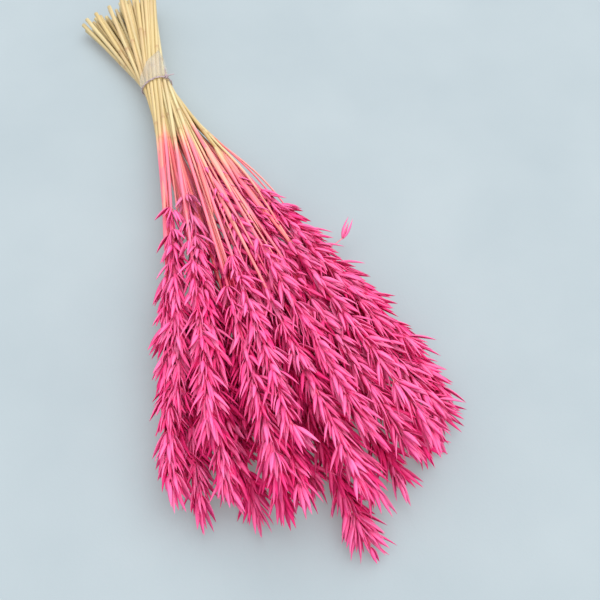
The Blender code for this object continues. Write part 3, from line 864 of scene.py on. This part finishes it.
def add_extras(oats, placed, low, high):
    """More spikelets for every head, where they press only a little into what is there."""
    rng = np.random.default_rng(SEED + 1)
    room = Room()
    for number, (oat, spikelets) in enumerate(zip(oats, placed)):
        for item in [oat, *spikelets]:
            room.add(item, number)
    extras = [[] for _ in oats]
    for _ in range(EXTRA_PER_HEAD):
        for number, oat in enumerate(oats):
            for _ in range(EXTRA_TRIES):
                extra = Extra(oat, rng)
                spots = np.concatenate([extra.tips, [extra.belly]])
                if (spots < low + 1.0).any() or (spots > high - 1.0).any() or extra.belly[2] < EXTRA_LOWEST:
                    continue
                if room.clear(extra, number, EXTRA_OVERLAP, free_neck=True):
                    room.add(extra, number)
                    extras[number].append(extra)
                    break
    rightmost = int(np.argmax([oat.at(STRAY_ALONG)[0] for oat in oats]))
    extras[rightmost].append(Stray(oats[rightmost]))
    return extras


def dress_oat(number, oat, spikelets, beside, cover, shift, materials, rng):
    """The fine piece that stands for one oat of the model."""
    shape = Shape()
    left = clamp(-oat.points[len(oat.points) // 2, 0] / 60.0)
    right = clamp((oat.at(HALFWAY)[0] - 0.6 * RIGHT_SIDE) / RIGHT_SIDE)
    late = rng.uniform() < 0.15 + 0.45 * left
    onset = rng.uniform(*(LATE_ONSET if late else EARLY_ONSET)) + LATER_RIGHT * right
    fade = rng.uniform(*(LATE_FADE if late else EARLY_FADE))
    straw(shape, oat, 1.0, cover, rng)
    for filler in beside:
        straw(shape, filler, FILLER_THINNER, cover, rng)
    blades(shape, oat, cover, rng)
    spikelets = [*spikelets, End(oat)]
    count = len(spikelets)

    def draw(low, high):
        return rng.uniform(low, high, (count, 1))

    keys = ("root", "axis", "side", "heading", "tips")
    roots, axes, sides, headings, ends = (np.array([getattr(s, key) for s in spikelets]) for key in keys)
    flats = np.cross(axes, sides)
    middles = ends.mean(axis=1)
    total = np.linalg.norm(middles - roots, axis=1, keepdims=True)
    full = np.minimum(GLUME_FULL * draw(0.86, 1.06), total - 1.5)
    bases = middles - full * axes
    bases[:, 2] = np.maximum(bases[:, 2], 0.8)
    tones = draw(0, 1)
    # painted shade from the spikelets over each spikelet
    painted_shade = covered(0.5 * (bases + middles), cover)
    dusty = rng.uniform() < 0.7 * left
    dust = rng.uniform(*(DUSTY if dusty else CLEAN))
    dust = dust * clamp(1.0 - (-roots[:, 1] - oat.along[oat.starts[0]]) / DUSTY_LENGTH)
    pedicels(shape, roots, bases + 0.8 * axes, headings, 0, (draw(0.6, 1.0), tones, 0.0, painted_shade))
    for which, sign in ((0, -1.0), (1, 1.0)):
        tips = ends[:, which] + sign * draw(0.0, 2.6) * sides + draw(-1.2, 1.2) * flats
        tips += draw(-1.5, 1.0) * axes
        tips[:, 2] = np.maximum(tips[:, 2], 0.25)
        widths = GLUME_WIDE * draw(0.85, 1.1)
        values = (draw(0.84, 1.0), clamp(tones + draw(-0.2, 0.2)), 0.0, painted_shade, dust)
        glumes(shape, bases + sign * 0.35 * sides, tips, sign * sides, widths, draw(0.2, 1.7), 1, values)
    ends = bases + full * draw(0.62, 0.76) * axes + draw(-0.8, 0.8) * flats
    florets(shape, bases, ends, sides, 2, (draw(0.8, 1.0), tones, 0.0, painted_shade, dust))
    obj = shape.build(f"dried_oat_{number:02d}", shift, materials, onset, fade)
    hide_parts(f"oat_{number:02d}")
    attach(obj, "root")


def rope(shape, points, radii, closed, tone):
    """A round strand through these points. A closed one ends on a copy of its first ring."""
    if closed:
        points = np.concatenate([points, points[:1]])
        ahead = np.concatenate([points[-2:-1], points, points[1:2]])
    else:
        ahead = np.concatenate([points[:1], points, points[-1:]])
    ahead = row_unit(ahead[2:] - ahead[:-2])
    ups = square_to(ahead, BEHIND)
    if not closed:
        for index in range(1, len(ups)):
            ups[index] = square_to(ahead[index], ups[index - 1])
    grid = rings(points, np.broadcast_to(radii, len(points)), ups, np.cross(ahead, ups), circle(ROPE_SIDES))
    length = np.linalg.norm(np.diff(points, axis=0), axis=1).sum()
    shape.add_grid(grid[None], 0, (0.0, tone), closed_ends=not closed, along=length / 10.0)


def rounded(corners, times):
    """A closed outline with its corners cut, again and again, until it is smooth."""
    for _ in range(times):
        after = np.roll(corners, -1, axis=0)
        corners = np.stack([0.75 * corners + 0.25 * after, 0.25 * corners + 0.75 * after], axis=1)
        corners = corners.reshape(-1, 2)
    return corners


def finish_tie(obj):
    """Joins the copied ring of each closed strand to its first one, hides the model's tie and puts the piece
    on the root body.
    """
    bm = bmesh.new()
    bm.from_mesh(obj.data)
    bmesh.ops.remove_doubles(bm, verts=bm.verts, dist=0.002 * MM)
    bm.to_mesh(obj.data)
    bm.free()
    obj.data.shade_smooth()
    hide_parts("tie")
    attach(obj, "root")


def tie_cord(oats, shift, materials):
    """Two strands of elastic twisted round each other, drawn round the stalks."""
    ring = rounded(outline_at(oats, 0.0, TIE_RADIUS + STALK_GAP + CORD_RADIUS), 2)
    turns = np.linspace(0, TURN, len(ring), endpoint=False)
    outward = row_unit(ring - ring.mean(axis=0))
    shape = Shape()
    for strand in range(2):
        twist = CORD_TWISTS * turns + strand * math.pi
        spots = ring + STRAND_OFFSET * np.cos(twist)[:, None] * outward
        path = np.stack([spots[:, 0], STRAND_OFFSET * np.sin(twist), spots[:, 1]], axis=1)
        rope(shape, path, STRAND_RADIUS, True, 0.5 * strand + 0.2)
    finish_tie(shape.build("tie_cord", shift, materials))


def tie_band(oats, shift, materials):
    """The flat turns of film behind the cord, with small pleats, longest at the upper right."""
    near = rounded(outline_at(oats, 0.0, TIE_RADIUS + STALK_GAP), 2)
    far = rounded(outline_at(oats, -FILM_LONG, TIE_RADIUS + STALK_GAP), 2)
    turns = np.linspace(0, TURN, len(near), endpoint=False)
    length = lerp(FILM_SHORT, FILM_LONG, (0.5 + 0.5 * np.cos(turns - FILM_PEAK)) ** 3)
    pleat = 0.1 * np.sin(17 * turns) * np.sin(5 * turns + 1.0)
    rows = np.linspace(0.0, 1.0, FILM_ROWS)
    sheets = []
    for outside in (FILM_OUTSIDE, FILM_INSIDE):
        for row in rows:
            spots = lerp(near, far, (row * length / FILM_LONG)[:, None])
            lift = outside - 0.08 * row + pleat * row
            spots = spots + lift[:, None] * row_unit(spots - spots.mean(axis=0))
            sheets.append(np.stack([spots[:, 0], 0.3 + row * length, spots[:, 1]], axis=1))
        rows = rows[::-1]
    sheets.append(sheets[0])
    shape = Shape()
    shape.add_grid(np.array(sheets)[None, ::-1], 0, (0.0, 0.5), closed_ends=False)
    finish_tie(shape.build("tie_band", shift, materials))


def tie_knot(oats, shift, materials):
    """The knot where the strands are tied, and its two cut ends."""
    ring = outline_at(oats, 0.0, TIE_RADIUS + STALK_GAP + CORD_RADIUS)
    x, z = unit(ring[KNOT_CORNER] - ring.mean(axis=0))
    out, along = np.array([x, 0.0, z]), np.array([-z, 0.0, x])
    spot = np.array([ring[KNOT_CORNER, 0], 0.0, ring[KNOT_CORNER, 1]])
    shape = Shape()
    turns = circle(28, flat=1.05)
    for number, tilt in enumerate(LOOP_TILTS):
        axis = unit(math.cos(tilt) * along + math.sin(tilt) * BEHIND)
        centre = spot + 0.6 * out + (number - 1) * LOOP_STEP * axis
        loop = centre + LOOP_RADIUS * (turns[:, :1] * out + turns[:, 1:] * np.cross(axis, out))
        rope(shape, loop, LOOP_STRAND, True, 0.3 * number)
    t = np.linspace(0, 1, 12)
    for turn in END_TURNS:
        away = math.cos(turn) * out + math.sin(turn) * along + (0.55 + turn) * BEHIND
        knot = spot + out
        end = knot + (END_LENGTH - 1.5) * unit(away)
        bend = 0.5 * (knot + end) + 1.6 * END_RADIUS * UP
        path = curve(knot[None], bend[None], end[None], t)[0][0] + 0.25 * np.sin(9 * t + turn)[:, None] * out
        rope(shape, path, np.linspace(LOOP_STRAND, 0.5, 12), False, 0.6)
    finish_tie(shape.build("tie_knot", shift, materials))


class Graph:
    """Short calls for laying out the nodes of one material."""

    def __init__(self, name):
        self.material = bpy.data.materials.new(name)
        self.material.use_nodes = True
        self.tree = self.material.node_tree
        self.shader = self.tree.nodes["Principled BSDF"]

    def put(self, socket, value):
        if isinstance(value, bpy.types.NodeSocket):
            self.tree.links.new(value, socket)
        else:
            socket.default_value = value

    def add(self, kind, inputs=None, out=0, **settings):
        node = self.tree.nodes.new("ShaderNode" + kind)
        for key, value in settings.items():
            setattr(node, key, value)
        for key, value in (inputs or {}).items():
            self.put(node.inputs[key], value)
        return node.outputs[out]

    def value(self, name):
        return self.add("Attribute", out="Fac", attribute_name=name, attribute_type="GEOMETRY")

    def math(self, operation, one, two=0.0):
        return self.add("Math", {0: one, 1: two}, operation=operation)

    def times(self, one, two):
        return self.math("MULTIPLY", one, two)

    def span(self, value, low, high, to_low=0.0, to_high=1.0):
        names = {"Value": value, "From Min": low, "From Max": high, "To Min": to_low, "To Max": to_high}
        return self.add("MapRange", names)

    def mix(self, share, one, two, blend="MIX"):
        """One colour over another, by a share from 0 to 1."""
        one, two = ((*c, 1.0) if isinstance(c, tuple) else c for c in (one, two))
        return self.add("Mix", {0: share, 6: one, 7: two}, out=2, data_type="RGBA", blend_type=blend)

    def layers(self, colour, *above):
        """Further colours over the first one, each by its own share."""
        for share, other in above:
            colour = self.mix(share, colour, other)
        return colour

    def ramp(self, share, stops):
        node = self.tree.nodes.new("ShaderNodeValToRGB")
        elements = node.color_ramp.elements
        while len(elements) < len(stops):
            elements.new(1.0)
        for element, (place, colour) in zip(elements, stops):
            element.position = place
            element.color = (*colour, 1.0)
        self.put(node.inputs["Fac"], share)
        return node.outputs["Color"]

    def noise(self, vector, scale, detail=3.0):
        return self.add("TexNoise", {"Vector": vector, "Scale": scale, "Detail": detail})

    def part(self, vector, axis):
        return self.add("SeparateXYZ", {0: vector}, out=axis)

    def place(self, axis):
        """The place on the surface: 0 is round the piece, 1 along it."""
        return self.part(self.add("UVMap", uv_map="UVMap"), axis)

    def streaks(self, round_it, along_it, by_tone, detail=3.0):
        """Noise stretched along the surface, shifted by the tone so that no two pieces are the same."""
        parts = (self.place(0), round_it), (self.place(1), along_it), (self.value("tone"), by_tone)
        inputs = {axis: self.times(*part) for axis, part in enumerate(parts)}
        return self.noise(self.add("CombineXYZ", inputs), 1.0, detail)

    def finish(self, colour, roughness, height, strength, distance, more=()):
        """Sets the colour, the roughness, the bump and whatever else the shader gets."""
        bump = self.add("Bump", {"Height": height, "Strength": strength, "Distance": distance})
        inputs = {"Base Color": colour, "Roughness": roughness, "Normal": bump, **dict(more)}
        for key, value in inputs.items():
            self.put(self.shader.inputs[key], value)
        return self.material


def straw_material():
    """Dry straw, cream to gold, that takes up the dye below the dip line, with fibres and darker joints.
    Painted shade darkens the hollow cut ends and turns stalks deep dark pink under the heads.
    """
    g = Graph("dyed_straw")
    dye, tone, joint_mark_and_hollow_shade = g.value("dye"), g.value("tone"), g.value("joint_mark_and_hollow_shade")
    fibres = g.streaks(7.0, 1.3, 31.0)
    patches = g.streaks(1.0, 3.1, 17.0, 2.0)
    dry = g.mix(tone, (0.71, 0.63, 0.36), (0.63, 0.48, 0.20))
    dry = g.mix(g.span(patches, 0.45, 0.75), dry, (0.65, 0.48, 0.25))
    wet = g.ramp(g.math("ADD", dye, g.span(patches, 0.3, 0.7, -0.08, 0.08)), [
        (0.0, (0.80, 0.58, 0.30)),
        (0.2, (0.95, 0.50, 0.34)),
        (0.45, (0.95, 0.36, 0.34)),
        (0.7, (0.95, 0.24, 0.33)),
        (1.0, (0.96, 0.18, 0.38)),
    ])
    wet = g.mix(g.span(tone, 0.6, 0.9, 0.0, 0.6), wet, (0.88, 0.15, 0.15))
    colour = g.mix(g.span(dye, 0.0, 0.12), dry, wet)
    shades = g.ramp(fibres, [(0.25, (0.72, 0.70, 0.68)), (0.7, (1.0, 1.0, 1.0))])
    colour = g.mix(1.0, colour, shades, "MULTIPLY")
    # painted shade: where spikelets lie over the stalk, it is painted deep dark pink
    deep = g.times(g.value("painted_shade"), 0.85), (0.84, 0.01, 0.14)
    # dark brown for the joints, which is their own colour, and for the hollow cut ends, which is painted
    # shade
    colour = g.layers(colour, (g.times(joint_mark_and_hollow_shade, 0.55), (0.34, 0.17, 0.07)), deep)
    height = g.math("ADD", fibres, g.times(joint_mark_and_hollow_shade, -0.5))
    return g.finish(colour, g.span(fibres, 0.3, 0.7, 0.36, 0.56), height, 0.35, 0.0004)


def husk_material(name, pale, rich, deep):
    """Papery glumes and husks, dyed: pale tips and edges, ribs along their length, and duller patches.

    Faces that point up are painted paler, as painted light, and glumes under other spikelets are painted
    deep dark pink, as painted shade.
    """
    g = Graph(name)
    u, v = g.place(0), g.place(1)
    tone = g.value("tone")
    ribs = g.streaks(11.0, 1.2, 37.0, 2.0)
    dull = g.noise(g.add("TexCoord", out="Object"), 16.0, 1.0)
    # painted light: the more a face points up, the paler it is painted in the layers below
    painted_top_light = g.part(g.add("NewGeometry", out="Normal"), 2)
    wet = g.layers(
        rich,
        (g.span(tone, 0.15, 1.0), deep),
        (g.span(dull, 0.58, 0.76, 0.0, 0.35), (0.80, 0.16, 0.36)),
        (g.span(painted_top_light, 0.1, 0.95, 0.0, 0.75), pale),
        (g.value("dust"), (0.60, 0.22, 0.36)),
    )
    dry = g.mix(tone, (0.80, 0.62, 0.42), (0.84, 0.46, 0.30))
    colour = g.mix(g.span(g.value("dye"), 0.05, 0.6), dry, wet)
    edge = g.math("SUBTRACT", g.times(g.math("MINIMUM", u, 1.0), 2.0), 1.0)
    edge = g.math("POWER", g.math("ABSOLUTE", edge), 3.0)
    foot = g.span(v, 0.14, 0.0, 0.0, 0.4), (0.86, 0.30, 0.24)
    colour = g.layers(colour, (g.times(edge, 0.3), pale), (g.span(v, 0.72, 1.0, 0.0, 0.5), pale), foot)
    shades = g.ramp(ribs, [(0.3, (0.90, 0.62, 0.74)), (0.6, (1.0, 1.0, 1.0))])
    colour = g.mix(1.0, colour, shades, "MULTIPLY")
    # painted shade: glumes under other spikelets are painted deep dark pink
    colour = g.mix(g.times(g.value("painted_shade"), 0.85), colour, (0.84, 0.006, 0.18))
    roughness = g.span(ribs, 0.3, 0.7, 0.55, 0.72)
    return g.finish(colour, roughness, ribs, 0.5, 0.0003, {"Specular IOR Level": 0.18})


def elastic_material():
    """Mauve-grey rubber, a little dusty, with fine lines along the strand."""
    g = Graph("tie_strand")
    lines = g.streaks(5.0, 4.0, 1.0)
    stops = [(0.3, (0.30, 0.22, 0.26)), (0.55, (0.46, 0.37, 0.41)), (0.75, (0.62, 0.54, 0.58))]
    colour = g.ramp(lines, stops)
    return g.finish(colour, g.span(lines, 0.3, 0.7, 0.4, 0.65), lines, 0.3, 0.0003)


def film_material():
    """Whitish film through which the stalks show dimly."""
    g = Graph("tie_film")
    creases = g.streaks(26.0, 2.0, 0.0)
    colour = g.ramp(creases, [(0.3, (0.54, 0.53, 0.45)), (0.7, (0.72, 0.71, 0.64))])
    alpha = {"Alpha": g.span(creases, 0.35, 0.7, 0.15, 0.31)}
    return g.finish(colour, g.span(creases, 0.3, 0.7, 0.25, 0.5), creases, 0.4, 0.0005, alpha)


def floor_material():
    """A pale, matt, faintly uneven surface that gives off a little warm light of its own, a painted light
    that lifts the shadows on it.
    """
    g = Graph("pale_floor")
    place = g.add("TexCoord", out="Object")
    cloud = g.noise(place, 7.0, 4.0)
    colour = g.ramp(cloud, [(0.3, (0.236, 0.306, 0.342)), (0.7, (0.266, 0.336, 0.370))])
    # painted light: the floor gives off faint warm light, though it is no lamp
    painted_glow = {"Emission Color": (1.0, 0.94, 0.9, 1.0), "Emission Strength": 0.16, "Specular IOR Level": 0.2}
    return g.finish(colour, 0.9, g.noise(place, 400.0, 2.0), 0.15, 0.0006, painted_glow)


# The stage: where the camera and the light stand
AZIMUTH, ELEVATION = math.radians(-23.5), math.radians(65.0)
AIM = np.array([42.55, -278.7, 0.0])
DISTANCE = 0.792
LENS, FILM_BACK = 50.0, 36.0
FLOOR_SIDE = 8.0
SUN_FROM = Vector((0.48, 0.30, 1.0))
SUN_POWER, SUN_ANGLE = 2.1, math.radians(58.0)
SUN_COLOUR = (1.0, 0.985, 0.96)
SKY_COLOUR, SKY_POWER = (1.0, 0.97, 0.98, 1.0), 1.12


def set_stage(shift):
    """Floor, light and camera. The camera looks at AIM, a place in the layout."""
    scene = bpy.context.scene
    mesh = bpy.data.meshes.new("floor")
    half = 0.5 * FLOOR_SIDE
    corners = [(-half, -half, 0), (half, -half, 0), (half, half, 0), (-half, half, 0)]
    mesh.from_pydata(corners, [], [(0, 1, 2, 3)])
    mesh.materials.append(floor_material())
    floor = stand("floor", mesh)

    sun = bpy.data.lights.new("soft_sun", "SUN")
    sun.energy, sun.angle, sun.color = SUN_POWER, SUN_ANGLE, SUN_COLOUR
    stand("soft_sun", sun, SUN_FROM)

    world = bpy.data.worlds.new("studio")
    world.use_nodes = True
    sky = world.node_tree.nodes["Background"]
    sky.inputs["Color"].default_value = SKY_COLOUR
    sky.inputs["Strength"].default_value = SKY_POWER
    scene.world = world
    scene.view_settings.view_transform = "Standard"

    camera = bpy.data.cameras.new("camera")
    camera.lens, camera.sensor_width = LENS, FILM_BACK
    level = math.cos(ELEVATION)
    back = Vector((math.sin(AZIMUTH) * level, -math.cos(AZIMUTH) * level, math.sin(ELEVATION)))
    eye = stand("camera", camera, back)
    eye.location = Vector((AIM - shift) * MM) + DISTANCE * back
    scene.camera = eye


def main():
    oats, placed = lay_out()
    middle = middle_of(oats, placed)
    shift = np.array([middle[0], middle[1], 0.0])
    low, high = np.array(cad_box) / MM + shift
    extras = add_extras(oats, placed, low, high)
    beside = fillers(oats)
    materials = [
        straw_material(),
        husk_material("dyed_glume", (0.94, 0.25, 0.47), (0.92, 0.115, 0.42), (0.92, 0.022, 0.31)),
        husk_material("dyed_floret", (0.94, 0.21, 0.44), (0.90, 0.07, 0.34), (0.84, 0.01, 0.20)),
    ]
    heads = [kept + more for kept, more in zip(placed, extras)]
    cover = np.array([0.5 * (s.belly + s.tips.mean(axis=0)) for head in heads for s in head])
    rng = np.random.default_rng(SEED + 2)
    for number, (oat, head) in enumerate(zip(oats, heads), 1):
        dress_oat(number, oat, head, beside[number - 1], cover, shift, materials, rng)
    strand = [elastic_material()]
    tie_cord(oats, shift, strand)
    tie_knot(oats, shift, strand)
    tie_band(oats, shift, [film_material()])
    set_stage(shift)


main()
